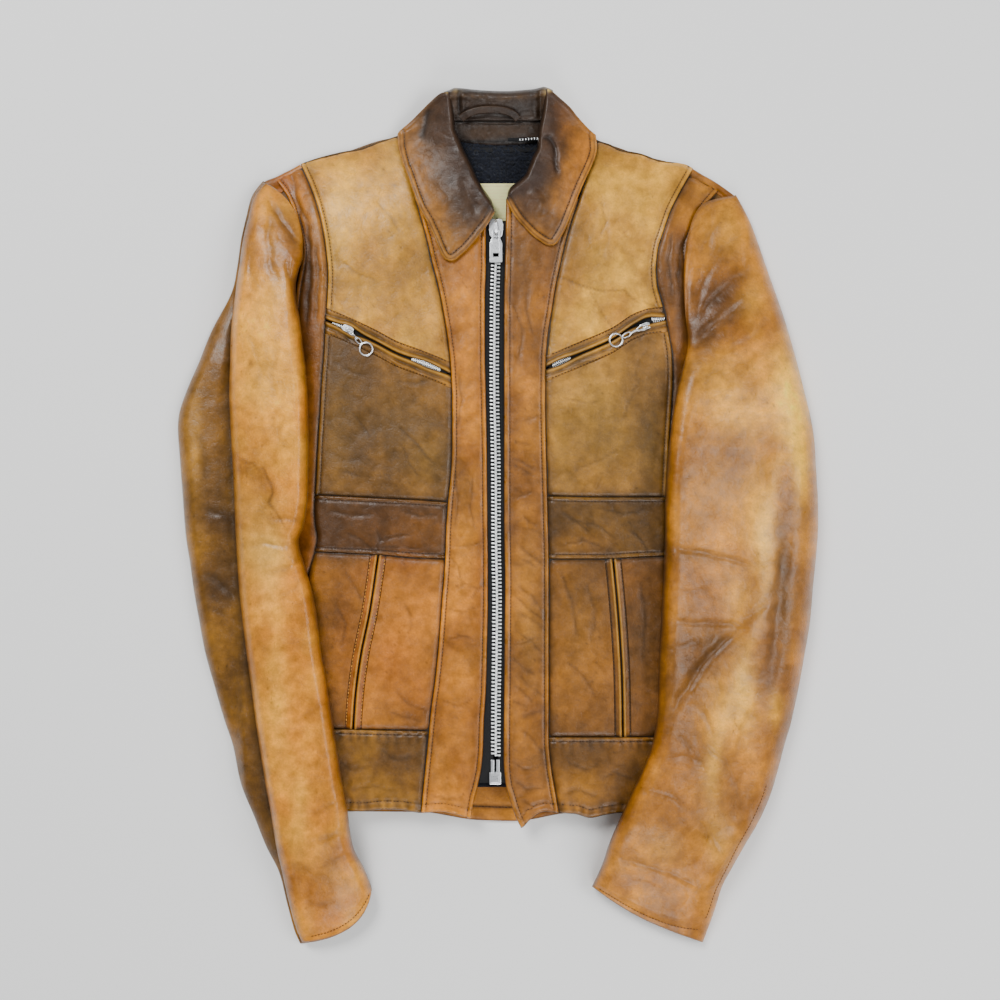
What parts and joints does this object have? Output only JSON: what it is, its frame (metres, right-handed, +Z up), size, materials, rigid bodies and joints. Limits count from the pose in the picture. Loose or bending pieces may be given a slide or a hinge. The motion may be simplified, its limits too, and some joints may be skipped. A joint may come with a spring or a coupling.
{
  "type": "leather jacket",
  "caption": "Tan leather riding jacket, zipped and laid flat, with a spread collar, slanted chest zips with ring pulls, welt hand pockets, a pile lining and open cuffs.",
  "frame": {"origin": "on the floor under the middle of the outline of the jacket as it lies on its back", "axes": "+Z up through the front of the jacket, +Y towards the collar, +X towards the wearer's left sleeve"},
  "size_m": [0.5764, 0.7645, 0.0477],
  "materials": {
    "body_leather": "worn tan leather, satin, with darker creases",
    "lower_leather": "reddish tan leather, polished by wear",
    "dark_leather": "dark brown leather, satin",
    "collar_leather": "dark leather worn to orange at the edges",
    "sleeve_leather": "light tan leather, creased and glossy at the elbows",
    "pile": "deep black pile",
    "pocket_cloth": "matt cotton",
    "label_cloth": "woven cloth, blank",
    "zip_tape": "black woven tape",
    "nickel": "bright nickel, lightly scratched"
  },
  "bodies": {
    "shell": {"back_yoke": "body_leather", "back_panel": "body_leather", "back_waist_band": "dark_leather", "back_lower_panel": "lower_leather", "back_hem_band": "body_leather", "back_lining": "pile", "placket_r": "body_leather", "chest_upper_r": "body_leather", "chest_lower_r": "body_leather", "waist_band_r": "dark_leather", "lower_panel_outer_r": "lower_leather", "lower_panel_inner_r": "lower_leather", "hem_band_r": "body_leather", "side_panel_r": "body_leather", "chest_zip_welt_r": "body_leather", "hand_pocket_welt_r": "lower_leather", "chest_pocket_bag_r": "pocket_cloth", "hand_pocket_bag_r": "pocket_cloth", "front_lining_r": "pile", "chest_zip_chain_r": "zip_tape", "placket_l": "body_leather", "chest_upper_l": "body_leather", "chest_lower_l": "body_leather", "waist_band_l": "dark_leather", "lower_panel_outer_l": "lower_leather", "lower_panel_inner_l": "lower_leather", "hem_band_l": "body_leather", "side_panel_l": "body_leather", "chest_zip_welt_l": "body_leather", "hand_pocket_welt_l": "lower_leather", "chest_pocket_bag_l": "pocket_cloth", "hand_pocket_bag_l": "pocket_cloth", "front_lining_l": "pile", "chest_zip_chain_l": "zip_tape", "main_zip_half_r": "zip_tape", "main_zip_half_l": "zip_tape", "zip_retainer_box": "nickel", "collar_stand": "dark_leather", "collar_back_fall": "collar_leather", "neck_label": "label_cloth", "liner_zip": "zip_tape", "upper_sleeve_r": "sleeve_leather", "under_sleeve_r": "sleeve_leather", "upper_sleeve_l": "sleeve_leather", "under_sleeve_l": "sleeve_leather"},
    "main_slider": {"main_slider": "nickel"},
    "main_pull": {"main_pull": "nickel"},
    "hanger_loop": {"hanger_loop": "dark_leather"},
    "chest_slider_r": {"chest_slider_r": "nickel"},
    "chest_pull_chain_r": {"chest_pull_chain_r": "nickel"},
    "chest_ring_r": {"chest_ring_r": "nickel"},
    "collar_leaf_r": {"collar_leaf_r": "collar_leather"},
    "forearm_r": {"forearm_sleeve_r": "sleeve_leather", "under_forearm_r": "sleeve_leather"},
    "chest_slider_l": {"chest_slider_l": "nickel"},
    "chest_pull_chain_l": {"chest_pull_chain_l": "nickel"},
    "chest_ring_l": {"chest_ring_l": "nickel"},
    "collar_leaf_l": {"collar_leaf_l": "collar_leather"},
    "forearm_l": {"forearm_sleeve_l": "sleeve_leather", "under_forearm_l": "sleeve_leather"}
  },
  "joints": [
    {"name": "main_zip_travel", "type": "slide", "parent": "shell", "child": "main_slider", "axis": [0, -1, 0], "range_m": [0, 0.458]},
    {"name": "main_pull_lift", "type": "hinge", "parent": "main_slider", "child": "main_pull", "pos_m": [-0.00154, 0.25043, 0.0246], "axis": [-1, 0, 0], "range_deg": [0, 125]},
    {"name": "chest_zip_travel_r", "type": "slide", "parent": "shell", "child": "chest_slider_r", "axis": [0.9158, -0.4017, 0], "range_m": [0, 0.0872]},
    {"name": "chest_chain_lift_r", "type": "hinge", "parent": "chest_slider_r", "child": "chest_pull_chain_r", "pos_m": [-0.13208, 0.16414, 0.0259], "axis": [-0.7396, -0.6731, 0], "range_deg": [0, 90]},
    {"name": "chest_ring_lift_r", "type": "hinge", "parent": "chest_pull_chain_r", "child": "chest_ring_r", "pos_m": [-0.12072, 0.15165, 0.0257], "axis": [-0.7396, -0.6731, 0], "range_deg": [0, 80]},
    {"name": "chest_zip_travel_l", "type": "slide", "parent": "shell", "child": "chest_slider_l", "axis": [-0.9228, -0.3852, 0], "range_m": [0, 0.0833]},
    {"name": "chest_chain_lift_l", "type": "hinge", "parent": "chest_slider_l", "child": "chest_pull_chain_l", "pos_m": [0.12963, 0.16639, 0.0259], "axis": [-0.429, 0.9033, 0], "range_deg": [0, 90]},
    {"name": "chest_ring_lift_l", "type": "hinge", "parent": "chest_pull_chain_l", "child": "chest_ring_l", "pos_m": [0.11054, 0.15733, 0.0257], "axis": [-0.429, 0.9033, 0], "range_deg": [0, 80]},
    {"name": "collar_lift_r", "type": "hinge", "parent": "shell", "child": "collar_leaf_r", "pos_m": [-0.04091, 0.36993, 0.031], "axis": [-0.3347, 0.942, 0.0233], "range_deg": [0, 60]},
    {"name": "collar_lift_l", "type": "hinge", "parent": "shell", "child": "collar_leaf_l", "pos_m": [0.04185, 0.36993, 0.031], "axis": [-0.3352, -0.9418, -0.0255], "range_deg": [0, 60]},
    {"name": "hanger_loop_lift", "type": "hinge", "parent": "shell", "child": "hanger_loop", "pos_m": [-0.00773, 0.3479, 0.0196], "axis": [1, 0, 0], "range_deg": [0, 90]},
    {"name": "elbow_r", "type": "hinge", "parent": "shell", "child": "forearm_r", "pos_m": [-0.24595, -0.0272, 0.012], "axis": [0, 0, -1], "range_deg": [0, 25]},
    {"name": "elbow_l", "type": "hinge", "parent": "shell", "child": "forearm_l", "pos_m": [0.24131, -0.06665, 0.012], "axis": [0, 0, 1], "range_deg": [0, 25]}
  ]
}
